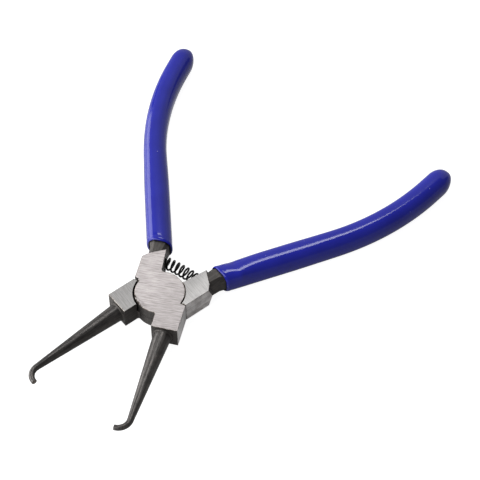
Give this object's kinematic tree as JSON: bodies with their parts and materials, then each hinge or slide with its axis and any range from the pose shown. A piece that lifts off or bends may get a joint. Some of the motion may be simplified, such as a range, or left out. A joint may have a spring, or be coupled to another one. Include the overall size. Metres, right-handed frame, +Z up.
{
  "type": "fuel line disconnect pliers",
  "caption": "Hand pliers with hooked round prongs that release fuel line connectors, a lap joint, a return spring and dipped grips.",
  "frame": {"origin": "on the joint's axis, at the ground underside of the head", "axes": "+Z up along the joint's axis, +Y along the tool's centre line towards the handles, +X to the side of the upper half's prong"},
  "size_m": [0.1272, 0.1633, 0.0106],
  "materials": {
    "forging": "ground head faces, black oxide elsewhere",
    "rivet": "ground flush",
    "spring": "black oxide wire",
    "grip": "glossy dipped vinyl, blue"
  },
  "bodies": {
    "lower": {"lower_half": "forging", "lower_grip": "grip", "pivot_rivet": "rivet", "return_spring": "spring"},
    "upper": {"upper_half": "forging", "upper_grip": "grip"}
  },
  "joints": [
    {"name": "pivot", "type": "hinge", "parent": "lower", "child": "upper", "pos_m": [0, 0, 0.0046], "axis": [0, 0, 1], "range_deg": [-34.7, 0], "stiffness_Nm_per_rad": 0.25, "springref_deg": 34.38, "deforming": ["return_spring"]}
  ]
}
